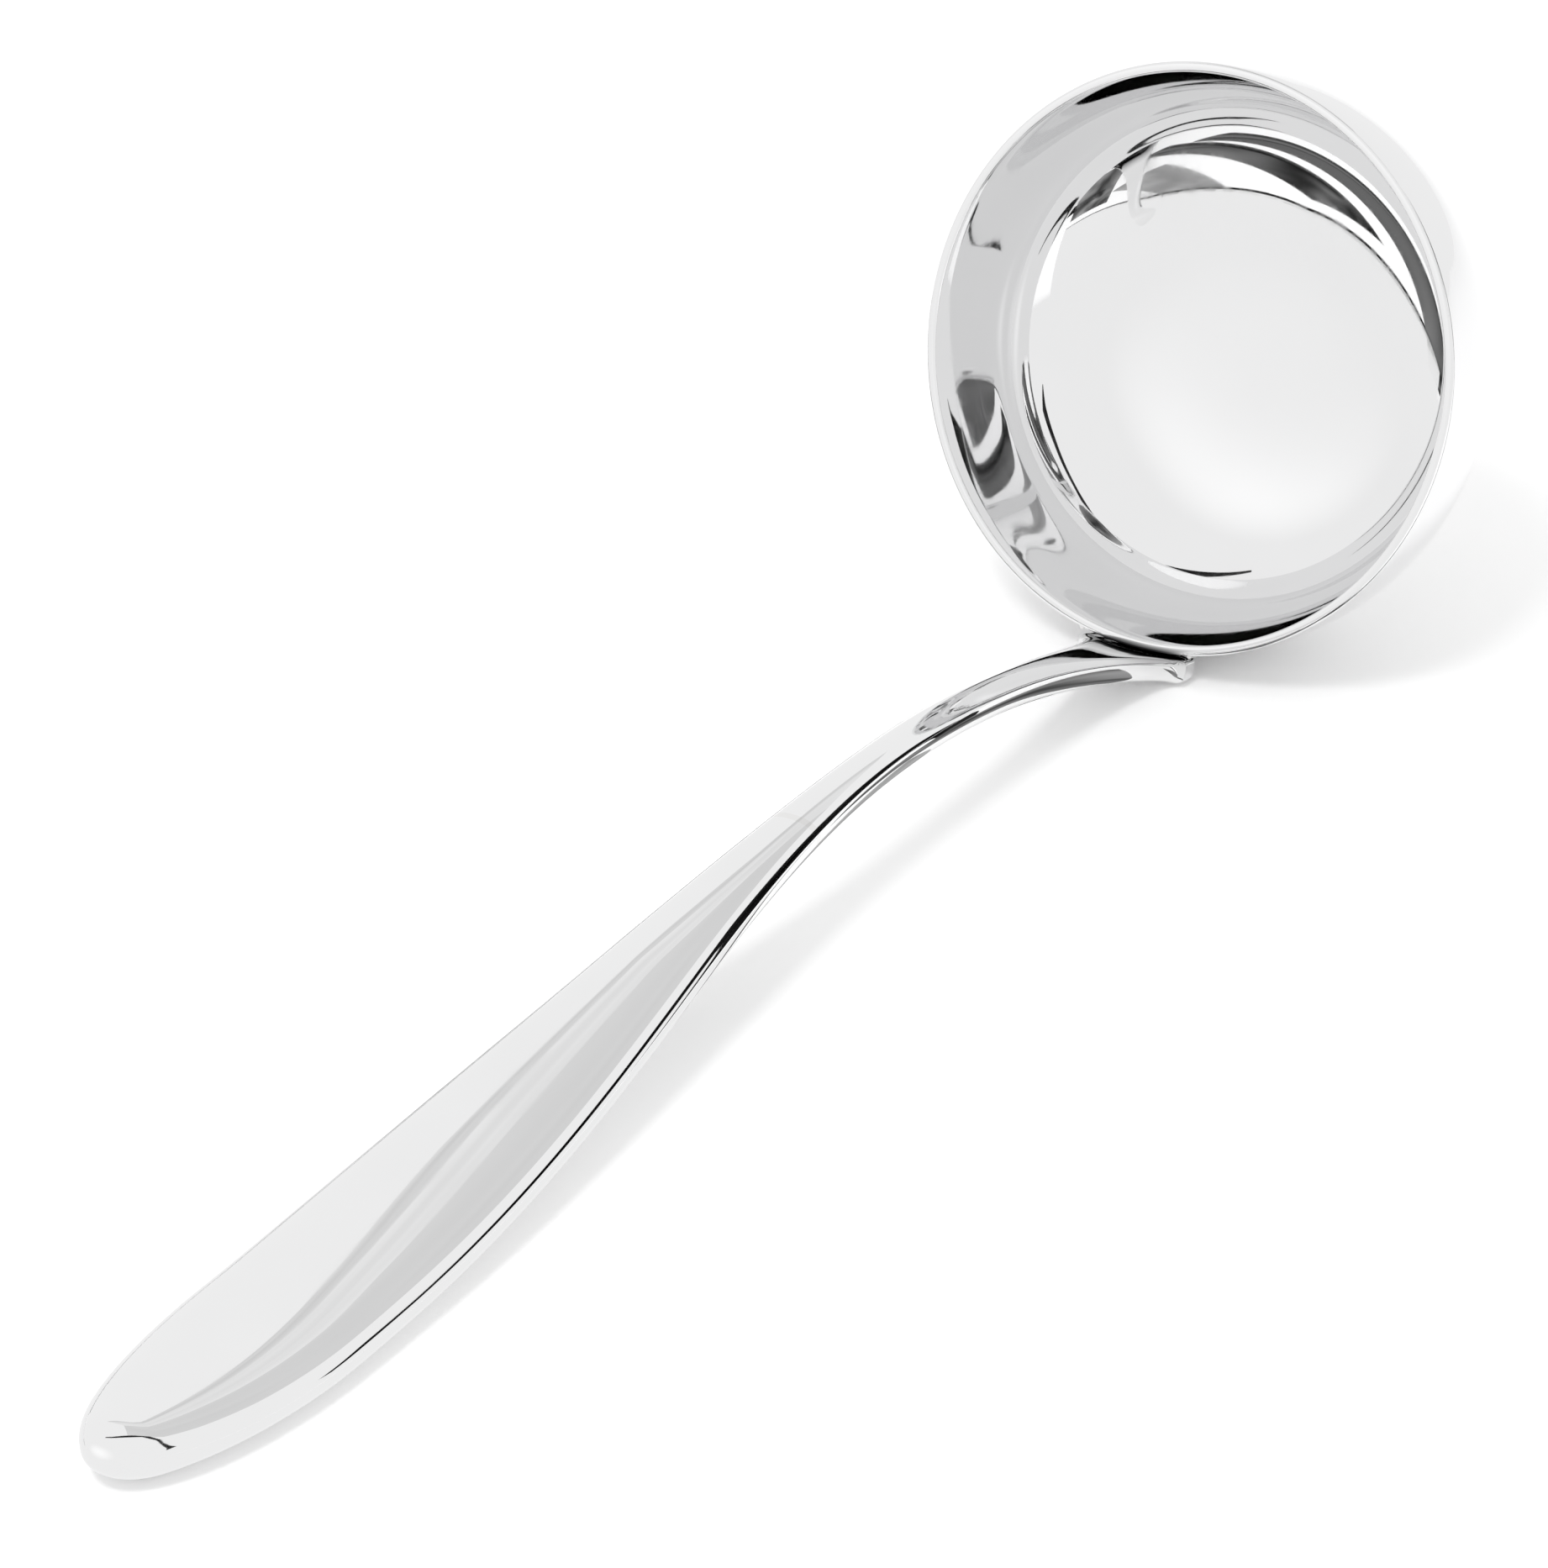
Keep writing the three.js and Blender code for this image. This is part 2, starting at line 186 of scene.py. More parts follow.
class StudioLook(bpy.types.PropertyGroup):
    """Floor, light and camera."""

    floor_colour: colour("Floor", "Colour of the floor", (0.99, 0.99, 0.99))
    lamp_glow: share("Broad lamp", "Brightness of the middle of the broad lamp before the bowl", 1.1, 4)
    room_colour: colour("Room", "Colour of the room beyond the cards", (0.95, 0.95, 0.95))
    azimuth: lean("Camera azimuth", "Where the camera stands, round the ladle", -55.631)
    elevation: lean("Camera elevation", "How high the camera looks from", 29.255)
    roll: lean("Camera roll", "How far the camera is turned about its line of sight", -1.446)
    distance: length("Camera distance", "From the camera to what it looks at", 760)
    aim: bpy.props.FloatVectorProperty(
        name="Camera aim", description="What the camera looks at, from the middle of the rim",
        default=(-0.09142, 0.01415, -0.03375), size=3, subtype="TRANSLATION", unit="LENGTH",
    )
    lens: bpy.props.FloatProperty(
        name="Lens", description="Focal length", default=121.72, unit="CAMERA",
    )


# ---------- Modelling helpers ----------


def begin(name, primitive, **settings):
    """Adds a primitive at the origin, named, ready in edit mode with all of it selected."""
    bpy.ops.object.select_all(action="DESELECT")
    primitive(enter_editmode=False, align="WORLD", **settings)
    piece = bpy.context.object
    piece.name = name
    piece.data.name = name
    bpy.ops.object.mode_set(mode="EDIT")
    bpy.ops.mesh.select_mode(type="VERT")
    bpy.ops.mesh.select_all(action="SELECT")
    return piece


def face_outwards():
    """Turns every face of the piece in edit mode outwards."""
    bpy.ops.mesh.select_all(action="SELECT")
    bpy.ops.mesh.normals_make_consistent(inside=False)


def only(piece):
    """Makes a piece the only selected one, in object mode."""
    if bpy.context.object and bpy.context.object.mode != "OBJECT":
        bpy.ops.object.mode_set(mode="OBJECT")
    bpy.ops.object.select_all(action="DESELECT")
    piece.select_set(True)
    bpy.context.view_layer.objects.active = piece


def apply_modifier(piece, kind, **settings):
    """Adds a modifier with these settings and applies it."""
    only(piece)
    modifier = piece.modifiers.new(kind.title(), kind)
    for key, value in settings.items():
        setattr(modifier, key, value)
    bpy.ops.object.modifier_apply(modifier=modifier.name)


def select_vertices(piece, test):
    """Selects the vertices that pass a test of their place, in edit mode's vertex mode."""
    bpy.ops.mesh.select_mode(type="VERT")
    bpy.ops.mesh.select_all(action="DESELECT")
    bpy.ops.object.mode_set(mode="OBJECT")
    for vertex in piece.data.vertices:
        vertex.select = test(vertex.co)
    bpy.ops.object.mode_set(mode="EDIT")


def rim_centre():
    """The middle of the rim's plane, in the frame."""
    wall = bpy.context.scene.ladle_bowl.wall
    return Vector(RIM_MOUNT["pos_m"]) + TO_HANDLE * (RIM_RADIUS - wall / 2)


def ladle_matrix():
    """From the ladle's own axes (x to the handle, z out of the bowl) to the frame."""
    turn = Matrix((TO_HANDLE, ACROSS, OUT_OF_BOWL)).transposed().to_4x4()
    return Matrix.Translation(rim_centre()) @ turn


def lay_down(piece):
    """Turns a piece from the ladle's own axes into the frame, and leaves its place in its mesh."""
    only(piece)
    piece.matrix_world = ladle_matrix()
    bpy.ops.object.transform_apply(location=True, rotation=True, scale=True)


def finish_piece(piece, slot, material, *nodes):
    """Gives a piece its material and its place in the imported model."""
    piece.data.materials.clear()
    piece.data.materials.append(material)
    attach(piece, BODY)
    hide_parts(*nodes)


# ---------- Bowl ----------


def bowl_outline(sizes):
    """The bowl's section from the outside of its bottom, over the rim, to the inside of its bottom."""
    power = 2 / sizes.fullness
    steps = sizes.wall_steps

    def side(radius, depth):
        points = []
        for i in range(steps + 1):
            angle = math.pi / 2 * i / steps
            points.append((radius * math.sin(angle) ** power, -depth * math.cos(angle) ** power))
        points[0] = (0, -depth)
        points[-1] = (radius, 0)
        return points

    outer = side(RIM_RADIUS, sizes.depth)
    inner = side(RIM_RADIUS - sizes.wall, sizes.depth - sizes.wall)
    inner.reverse()
    kept = sizes.rim_round
    outer = [p for p in outer if p[1] < -kept]
    inner = [p for p in inner if p[1] < -kept]
    return outer + rim_edge(sizes) + inner


def rim_edge(sizes):
    """The rim's flat top with its two rounded edges, from the outside in."""
    radius = sizes.rim_round
    quarter = 6
    points = []
    for edge, first in ((RIM_RADIUS - radius, 0), (RIM_RADIUS - sizes.wall + radius, math.pi / 2)):
        for i in range(quarter + 1):
            angle = first + math.pi / 2 * i / quarter
            points.append((edge + radius * math.cos(angle), radius * (math.sin(angle) - 1)))
    return points


def spin_bowl():
    """Draws the bowl's section by extruding one point, and spins it round the bowl's axis."""
    sizes = bpy.context.scene.ladle_bowl
    outline = bowl_outline(sizes)
    bowl = begin("ladle_bowl", bpy.ops.mesh.primitive_circle_add, vertices=3, radius=MM)
    bpy.ops.mesh.merge(type="CENTER")
    bpy.ops.transform.translate(value=(outline[0][0], 0, outline[0][1]))
    for here, there in zip(outline, outline[1:]):
        step = (there[0] - here[0], 0, there[1] - here[1])
        bpy.ops.mesh.extrude_region_move(TRANSFORM_OT_translate={"value": step})
    bpy.ops.mesh.select_all(action="SELECT")
    bpy.ops.mesh.spin(
        steps=sizes.spin_steps, angle=math.tau, center=(0, 0, 0), axis=(0, 0, 1), use_auto_merge=True,
    )
    bpy.ops.mesh.select_all(action="SELECT")
    bpy.ops.mesh.remove_doubles(threshold=MERGE_DISTANCE)
    face_outwards()
    bpy.ops.mesh.faces_shade_smooth()
    lay_down(bowl)
    finish_piece(bowl, "bowl_silver", silver("bowl_polish", "bowl"), "bowl_shell")


# ---------- Handle's line and sections ----------

NECK_RINGS = 80
NECK_CROWDING = 1.3  # 1 spaces the rings evenly, more crowds them at the rim
TIP_HOLE = 0.06 * MM  # what is left open at the tip, before it is merged to a point
MODELLED_WALL = 0.5  # share of the halves' wall that is modelled, inside where it isn't seen
SHADING_REACH = 0.03 * MM  # how far off the unparted handle a face still takes over its shading


def ease(value):
    """From 0 to 1 without a corner at either end."""
    clamped = min(max(value, 0), 1)
    return (1 - math.cos(math.pi * clamped)) / 2


def mix(a, b, amount):
    """A value between a and b."""
    return a + (b - a) * amount


class HandleLine:
    """The handle's line in the plane of the bowl's axis: x out from the axis, y over the rim."""

    fineness = 400

    def __init__(self, handle, shoe):
        root = Vector((RIM_RADIUS + shoe.gap + shoe.thickness / 2, 0))
        bend = root + Vector((handle.bend_sweep, handle.bend_rise))
        tip = root + Vector((handle.sweep, handle.rise))
        self.points = self.piece(root, handle.root_lean, bend, handle.bend_lean, handle.neck_tension)
        self.points += self.piece(bend, handle.bend_lean, tip, handle.tip_lean, handle.grip_tension)[1:]
        self.marks = [0.0]
        for here, there in zip(self.points, self.points[1:]):
            self.marks.append(self.marks[-1] + (there - here).length)
        self.length = self.marks[-1]

    def piece(self, start, start_lean, end, end_lean, tension):
        """Points of one Bezier piece between two places with their leans."""
        pull = (end - start).length * tension
        leave = start + pull * Vector((math.sin(start_lean), math.cos(start_lean)))
        arrive = end - pull * Vector((math.sin(end_lean), math.cos(end_lean)))
        points = []
        for i in range(self.fineness + 1):
            t = i / self.fineness
            a, b, c, d = (1 - t) ** 3, 3 * t * (1 - t) ** 2, 3 * t * t * (1 - t), t ** 3
            points.append(a * start + b * leave + c * arrive + d * end)
        return points

    def at(self, along):
        """Place and direction at a distance along the line, straight on past either end."""
        low, high = 0, len(self.marks) - 2
        while low < high:
            middle = (low + high + 1) // 2
            if self.marks[middle] <= along:
                low = middle
            else:
                high = middle - 1
        before = max(low - 1, 0)
        after = min(low + 2, len(self.points) - 1)
        start = (self.points[low + 1] - self.points[before]).normalized()
        end = (self.points[after] - self.points[low]).normalized()
        part = (along - self.marks[low]) / (self.marks[low + 1] - self.marks[low])
        place = self.points[low].lerp(self.points[low + 1], part)
        return place, start.lerp(end, min(max(part, 0), 1)).normalized()


def half_sizes(handle, shoe, along, whole):
    """Half the width and half the thickness of the neck and handle at a distance along the line."""
    widest = whole - handle.widest
    swell = ease((along - handle.swell_start) / (widest - handle.swell_start))
    spread = min(max(1 - along / shoe.flare, 0), 1)
    flare = 1 - math.sqrt(1 - spread ** 2)
    width = mix(handle.neck_width, handle.grip_width, swell) + (shoe.width - handle.neck_width) * flare
    root = mix(shoe.thickness, handle.neck_thickness, ease(along / shoe.flare))
    thickness = mix(root, handle.grip_thickness, swell)
    to_tip = whole - along
    round_end = math.sqrt(1 - (1 - min(to_tip / handle.tip_round, 1)) ** 2)
    blunt_end = math.sqrt(1 - (1 - min(to_tip / handle.tip_blunt, 1)) ** 2)
    return width / 2 * round_end, thickness / 2 * blunt_end


def section_ring(name, handle):
    """A ring of points with the handle's full oval section, one unit in half width and half thickness."""
    ring = begin(name, bpy.ops.mesh.primitive_circle_add, vertices=handle.section_points, radius=1)
    bpy.ops.object.mode_set(mode="OBJECT")
    power = 2 / handle.section_fullness
    for i, vertex in enumerate(ring.data.vertices):
        angle = math.tau * i / handle.section_points
        cos, sin = math.cos(angle), math.sin(angle)
        vertex.co.x = math.copysign(abs(cos) ** power, cos)
        vertex.co.y = math.copysign(abs(sin) ** power, sin)
    bpy.ops.object.mode_set(mode="EDIT")
    bpy.ops.mesh.select_all(action="SELECT")
    return ring


def draw_out(stations, sizes_at):
    """Extrudes the selected ring from station to station along z, resizing it at each."""
    here, now = stations[0], sizes_at(stations[0])
    bpy.ops.transform.resize(value=(now[1], now[0], 1))
    bpy.ops.transform.translate(value=(0, 0, here))
    for there in stations[1:]:
        then = sizes_at(there)
        bpy.ops.mesh.extrude_region_move(TRANSFORM_OT_translate={"value": (0, 0, there - here)})
        bpy.ops.transform.resize(value=(then[1] / now[1], then[0] / now[0], 1))
        here, now = there, then


def bend_along(piece, line):
    """Bends a straight piece, drawn along z, so that its middle follows the handle's line."""
    only(piece)
    for vertex in piece.data.vertices:
        along = vertex.co.z
        place, way = line.at(along)
        if along < 0:
            place, way = Vector((line.points[0].x, along)), Vector((0, 1))
        outward = Vector((way.y, -way.x))
        x, y = place + outward * vertex.co.x
        vertex.co = (x, vertex.co.y, y)


def handle_stations(handle, start, whole):
    """Distances along the line for the rings, crowded towards the tip."""
    closed = whole - TIP_HOLE
    stations = []
    for i in range(handle.stations + 1):
        part = i / handle.stations
        crowded = math.sin(part * math.pi / 2)
        stations.append(mix(start, closed, mix(part, crowded, part ** 2)))
    return stations


def forge_neck():
    """Draws out the neck with its flared shoe and bends it to the handle's line."""
    scene = bpy.context.scene
    handle, shoe = scene.ladle_handle, scene.ladle_shoe
    line = HandleLine(handle, shoe)
    neck = section_ring("ladle_neck", handle)
    shoulder = handle.neck_length - handle.ring_length
    rings = [-shoe.drop * math.cos(math.pi / 2 * i / shoe.steps) for i in range(shoe.steps)]
    rings += [shoulder * (i / NECK_RINGS) ** NECK_CROWDING for i in range(NECK_RINGS + 1)]
    draw_out(rings, lambda along: neck_sizes(handle, shoe, along, line.length))
    cap_ends()
    bpy.ops.object.mode_set(mode="OBJECT")
    square_shoe(neck, handle, shoe, line)
    bend_along(neck, line)
    bpy.ops.object.mode_set(mode="EDIT")
    face_outwards()
    bpy.ops.object.mode_set(mode="OBJECT")
    bpy.ops.object.shade_smooth_by_angle(angle=SHARP_EDGE)
    lay_down(neck)
    finish_piece(neck, "handle_silver", silver("handle_polish", "handle"), "neck_shank")


def cap_ends():
    """Closes a drawn-out skin's two open ends."""
    bpy.ops.mesh.select_all(action="DESELECT")
    bpy.ops.mesh.select_mode(type="EDGE")
    bpy.ops.mesh.select_non_manifold(extend=False, use_boundary=True, use_wire=False)
    bpy.ops.mesh.edge_face_add()
    bpy.ops.mesh.select_mode(type="VERT")


def square_shoe(neck, handle, shoe, line):
    """Gives the straight neck's sections their fuller corners towards the shoe, laps it on the bowl, and
    paints shade into its inner corner at the rim.
    """
    bowl = bpy.context.scene.ladle_bowl
    oval = 2 / handle.section_fullness
    crease_shade = neck.data.attributes.new("crease_shade", "FLOAT", "POINT")
    for vertex, dark in zip(neck.data.vertices, crease_shade.data):
        x, y, along = vertex.co
        risen = ease(along / shoe.flare)
        width, thickness = neck_sizes(handle, shoe, along, line.length)
        across = min(abs(y) / width, 1) ** (1 / oval)
        through = min(abs(x) / thickness, 1) ** (1 / oval)
        power = 2 / mix(shoe.fullness, handle.section_fullness, risen)
        y = math.copysign(width * across ** power, y)
        x = math.copysign(thickness * through ** power, x)
        inward = (1 - math.copysign(through, x)) / 2
        # painted shade: strongest on the neck's inner face at the rim, fading out up the neck
        dark.value = inward ** 3 * (1 - ease((along - 1 * MM) / shoe.crease_shade)) if along > -shoe.bead else 0
        round_wall = RIM_RADIUS - math.sqrt(RIM_RADIUS ** 2 - y * y)
        if along < 0:
            depth = min(-along / shoe.drop, 1)
            end = wall_radius(bowl, shoe.drop) + shoe.gap + shoe.edge
            outer = mix(RIM_RADIUS + shoe.gap + shoe.thickness, end, depth ** 2)
            inner = math.sqrt(wall_radius(bowl, -along) ** 2 - y * y) + shoe.gap
            middle = RIM_RADIUS + shoe.gap + shoe.thickness / 2
            x = mix(outer, inner, (1 - x / thickness) / 2) - middle
        else:
            x -= (1 - risen) * inward * round_wall
        vertex.co.x, vertex.co.y = x, y


def neck_sizes(handle, shoe, along, whole):
    """Half the width and half the thickness of the neck, also under the rim where along is below 0."""
    if along >= 0:
        return half_sizes(handle, shoe, along, whole)
    tongue = min(max((-along - shoe.shoulder) / (shoe.drop - shoe.shoulder), 0), 0.999)
    return shoe.width / 2 * math.sqrt(1 - tongue ** 2), shoe.thickness / 2


def wall_radius(bowl, depth):
    """The bowl's outer radius at a depth under the rim."""
    part = min(abs(depth) / bowl.depth, 1)
    return RIM_RADIUS * (1 - part ** bowl.fullness) ** (1 / bowl.fullness)


def smooth_pattern(whole, line):
    """A bent copy of the unparted handle, whose shading both halves take over at their parting."""
    only(whole)
    bpy.ops.object.duplicate()
    pattern = bpy.context.object
    pattern.name = "handle_pattern"
    bend_along(pattern, line)
    bpy.ops.object.shade_smooth()
    only(whole)
    return pattern


def strike_handle():
    """Draws out the hollow handle, parts it into its two halves, and gives each its wall."""
    scene = bpy.context.scene
    handle, shoe = scene.ladle_handle, scene.ladle_shoe
    line = HandleLine(handle, shoe)
    whole = section_ring("ladle_handle_upper", handle)
    stations = handle_stations(handle, handle.neck_length, line.length)
    draw_out(stations, lambda along: half_sizes(handle, shoe, along, line.length))
    bpy.ops.mesh.merge(type="CENTER")
    face_outwards()
    pattern = smooth_pattern(whole, line)
    bpy.ops.object.mode_set(mode="EDIT")
    bpy.ops.mesh.select_all(action="SELECT")
    bpy.ops.mesh.bisect(plane_co=(0, 0, 0), plane_no=(1, 0, 0), threshold=ON_PARTING)
    select_vertices(whole, lambda place: place.x > -ON_PARTING)
    bpy.ops.mesh.select_mode(type="FACE")
    bpy.ops.mesh.separate(type="SELECTED")
    lower = next(o for o in bpy.context.selected_objects if o != whole)
    lower.name = lower.data.name = "ladle_handle_lower"
    for half, node in ((whole, "handle_upper_half"), (lower, "handle_lower_half")):
        bend_along(half, line)
        apply_modifier(
            half, "SOLIDIFY", thickness=handle.wall * MODELLED_WALL, offset=-1,
            use_rim=True, use_even_offset=False,
        )
        bpy.ops.object.shade_smooth_by_angle(angle=SHARP_EDGE)
        apply_modifier(
            half, "DATA_TRANSFER", object=pattern, use_loop_data=True, data_types_loops={"CUSTOM_NORMAL"},
            loop_mapping="POLYINTERP_NEAREST", use_max_distance=True, max_distance=SHADING_REACH,
        )
        lay_down(half)
        finish_piece(half, "handle_silver", silver("handle_polish", "handle"), node)
    bpy.data.objects.remove(pattern)


# ---------- Solder ----------

SHARP_BEAD_EDGE = math.radians(60)  # edges of the bead bent by more than this stay sharp


def fill_mouth():
    """The ring of solder between the neck's shoulder and the mouth of the hollow handle, filed flush."""
    scene = bpy.context.scene
    handle, shoe = scene.ladle_handle, scene.ladle_shoe
    line = HandleLine(handle, shoe)
    ring = section_ring("ladle_mouth_ring", handle)
    start = handle.neck_length - handle.ring_length
    stations = [mix(start, handle.neck_length, i / 4) for i in range(5)]
    draw_out(stations, lambda along: half_sizes(handle, shoe, along, line.length))
    cap_ends()
    face_outwards()
    bend_along(ring, line)
    bpy.ops.object.shade_smooth_by_angle(angle=SHARP_EDGE)
    lay_down(ring)
    finish_piece(ring, "silver_solder", silver("solder_polish", "solder"), "handle_mouth_ring")


def shoe_edge(bowl, shoe):
    """Points along the shoe's edge on the bowl's wall, from one end at the rim round to the other."""
    points = []
    turns = 48
    for i in range(turns + 1):
        angle = math.pi * i / turns
        side = math.cos(angle) * shoe.width / 2
        depth = shoe.shoulder + (shoe.drop - shoe.shoulder) * math.sin(angle)
        points.append((side, depth))
    points.insert(0, (shoe.width / 2, shoe.bead))
    points.append((-shoe.width / 2, shoe.bead))
    placed = []
    for side, depth in points:
        radius = wall_radius(bowl, depth)
        placed.append(Vector((math.sqrt(radius ** 2 - side ** 2), side, -depth)))
    return placed


def run_bead():
    """The bead of solder in the corner between the shoe's edge and the bowl's wall."""
    scene = bpy.context.scene
    bowl, shoe = scene.ladle_bowl, scene.ladle_shoe
    points = shoe_edge(bowl, shoe)
    bpy.ops.object.select_all(action="DESELECT")
    bpy.ops.curve.primitive_nurbs_path_add(enter_editmode=False)
    bead = bpy.context.object
    bead.name = bead.data.name = "ladle_shoe_bead"
    curve = bead.data
    curve.splines.clear()
    spline = curve.splines.new("POLY")
    spline.points.add(len(points) - 1)
    for knot, place in zip(spline.points, points):
        knot.co = (*place, 1)
    curve.dimensions = "3D"
    curve.bevel_depth = shoe.bead
    curve.bevel_resolution = 4
    curve.use_fill_caps = True
    only(bead)
    bpy.ops.object.convert(target="MESH")
    bpy.ops.object.shade_smooth_by_angle(angle=SHARP_BEAD_EDGE)
    lay_down(bead)
    finish_piece(bead, "silver_solder", silver("solder_polish", "solder"), "shoe_bead")


# ---------- Materials ----------


def new_group(name, inputs, outputs):
    """An empty shader node group with named sockets."""
    group = bpy.data.node_groups.new(name, "ShaderNodeTree")
    for socket, kind, default in inputs:
        made = group.interface.new_socket(name=socket, in_out="INPUT", socket_type=kind)
        if default is not None:
            made.default_value = default
    for socket, kind in outputs:
        group.interface.new_socket(name=socket, in_out="OUTPUT", socket_type=kind)
    return group


def buffing_marks():
    """Fine straight and cloudy marks that a buffing wheel leaves, as a mask and a height."""
    found = bpy.data.node_groups.get("buffing_marks")
    if found:
        return found
    group = new_group(
        "buffing_marks",
        [("Vector", "NodeSocketVector", None), ("Stretch", "NodeSocketVector", (1, 1, 1))],
        [("Mask", "NodeSocketFloat"), ("Height", "NodeSocketFloat"), ("Cloud", "NodeSocketFloat")],
    )
    add, link = group.nodes.new, group.links.new
    source, sink = add("NodeGroupInput"), add("NodeGroupOutput")
    stretched = add("ShaderNodeVectorMath")
    stretched.operation = "MULTIPLY"
    link(source.outputs["Vector"], stretched.inputs[0])
    link(source.outputs["Stretch"], stretched.inputs[1])
    lines = add("ShaderNodeTexNoise")
    lines.inputs["Scale"].default_value = 900
    lines.inputs["Detail"].default_value = 3
    link(stretched.outputs[0], lines.inputs["Vector"])
    cloud = add("ShaderNodeTexNoise")
    cloud.inputs["Scale"].default_value = 45
    cloud.inputs["Detail"].default_value = 4
    link(source.outputs["Vector"], cloud.inputs["Vector"])
    both = add("ShaderNodeMath")
    both.operation = "MULTIPLY"
    link(lines.outputs["Fac"], both.inputs[0])
    link(cloud.outputs["Fac"], both.inputs[1])
    sharpen = add("ShaderNodeMapRange")
    sharpen.inputs["From Min"].default_value = 0.2
    sharpen.inputs["From Max"].default_value = 0.42
    link(both.outputs[0], sharpen.inputs["Value"])
    link(sharpen.outputs["Result"], sink.inputs["Mask"])
    link(lines.outputs["Fac"], sink.inputs["Height"])
    link(cloud.outputs["Fac"], sink.inputs["Cloud"])
    return group


def silver(name, kind):
    """Mirror-polished metal with faint buffing marks, for the bowl, the handle or the solder, with painted
    shade where a piece's points carry a shade value.
    """
    found = bpy.data.materials.get(name)
    if found:
        return found
    look = bpy.context.scene.ladle_finish
    base = {"bowl": look.bowl_colour, "handle": look.handle_colour, "solder": look.solder_colour}[kind]
    stretch = {"bowl": (1, 1, 0.06), "handle": (0.05, 1, 1), "solder": (1, 1, 1)}[kind]
    material = bpy.data.materials.new(name)
    material.use_nodes = True
    material.diffuse_color = (*base, 1)
    nodes, link = material.node_tree.nodes, material.node_tree.links.new
    shader = nodes["Principled BSDF"]
    shader.inputs["Metallic"].default_value = 1
    place = nodes.new("ShaderNodeTexCoord")
    turned = nodes.new("ShaderNodeMapping")
    if kind == "bowl":
        turned.vector_type = "TEXTURE"
        turned.inputs["Location"].default_value = rim_centre()
        turned.inputs["Rotation"].default_value = ladle_matrix().to_euler()
    link(place.outputs["Object"], turned.inputs["Vector"])
    marks = nodes.new("ShaderNodeGroup")
    marks.node_tree = buffing_marks()
    marks.inputs["Stretch"].default_value = stretch
    link(turned.outputs["Vector"], marks.inputs["Vector"])
    rough = nodes.new("ShaderNodeMapRange")
    rough.inputs["To Min"].default_value = look.polish
    rough.inputs["To Max"].default_value = look.polish + look.buffing
    link(marks.outputs["Mask"], rough.inputs["Value"])
    link(rough.outputs["Result"], shader.inputs["Roughness"])
    tone = nodes.new("ShaderNodeMixRGB")
    tone.inputs["Color1"].default_value = (*base, 1)
    tone.inputs["Color2"].default_value = (*(0.96 * part for part in base), 1)
    link(marks.outputs["Cloud"], tone.inputs["Fac"])
    # painted shade: the point attribute mixes the silver towards near-black in the neck's soldered corner
    corner = nodes.new("ShaderNodeAttribute")
    corner.attribute_name = "crease_shade"
    painted_shade = nodes.new("ShaderNodeMixRGB")
    painted_shade.inputs["Color2"].default_value = PAINTED_SHADE_COLOUR
    link(corner.outputs["Fac"], painted_shade.inputs["Fac"])
    link(tone.outputs["Color"], painted_shade.inputs["Color1"])
    link(painted_shade.outputs["Color"], shader.inputs["Base Color"])
    bump = nodes.new("ShaderNodeBump")
    bump.inputs["Strength"].default_value = 0.02
    bump.inputs["Distance"].default_value = 0.02 * MM
    link(marks.outputs["Height"], bump.inputs["Height"])
    link(bump.outputs["Normal"], shader.inputs["Normal"])
    return material


# ---------- Stage ----------

FLOOR_WIDTH = 6
CARD_LIFT = 0.8 * MM  # how far the cards on the floor lie over it
CEILING_HEIGHT = 1.2
LAMP_DISTANCE = 1.3


def plain(name, base):
    """A matt surface with a faint glow of its own, for the floor."""
    material = bpy.data.materials.new(name)
    material.use_nodes = True
    shader = material.node_tree.nodes["Principled BSDF"]
    shader.inputs["Base Color"].default_value = (*base, 1)
    shader.inputs["Roughness"].default_value = 0.9
    shader.inputs["Specular IOR Level"].default_value = 0.1
    shader.inputs["Emission Color"].default_value = (*base, 1)
    shader.inputs["Emission Strength"].default_value = 0.06
    return material


def glowing(name, low, high, sharpness):
    """A card's own light: from low to high in cloudy folds, or towards its middle if sharpness is 0."""
    material = bpy.data.materials.new(name)
    material.use_nodes = True
    nodes, link = material.node_tree.nodes, material.node_tree.links.new
    shader = nodes["Principled BSDF"]
    shader.inputs["Base Color"].default_value = (0, 0, 0, 1)
    shader.inputs["Roughness"].default_value = 1
    shader.inputs["Specular IOR Level"].default_value = 0
    shader.inputs["Emission Strength"].default_value = 1
    place = nodes.new("ShaderNodeTexCoord")
    fold = nodes.new("ShaderNodeMapRange")
    fold.interpolation_type = "SMOOTHSTEP"
    if sharpness:
        cloth = nodes.new("ShaderNodeTexNoise")
        cloth.inputs["Scale"].default_value = 2.2
        cloth.inputs["Detail"].default_value = 1
        cloth.inputs["Distortion"].default_value = 0.6
        link(place.outputs["UV"], cloth.inputs["Vector"])
        fold.inputs["From Min"].default_value = 0.5 - sharpness / 2
        fold.inputs["From Max"].default_value = 0.5 + sharpness / 2
        link(cloth.outputs["Fac"], fold.inputs["Value"])
    else:
        off_middle = nodes.new("ShaderNodeVectorMath")
        off_middle.operation = "DISTANCE"
        off_middle.inputs[1].default_value = (0.5, 0.5, 0)
        link(place.outputs["UV"], off_middle.inputs[0])
        fold.inputs["From Min"].default_value = 0.48
        fold.inputs["From Max"].default_value = 0
        link(off_middle.outputs["Value"], fold.inputs["Value"])
    tone = nodes.new("ShaderNodeMixRGB")
    tone.inputs["Color1"].default_value = (low, low, low, 1)
    tone.inputs["Color2"].default_value = (high, high, high, 1)
    link(fold.outputs["Result"], tone.inputs["Fac"])
    link(tone.outputs["Color"], shader.inputs["Emission Color"])
    return material


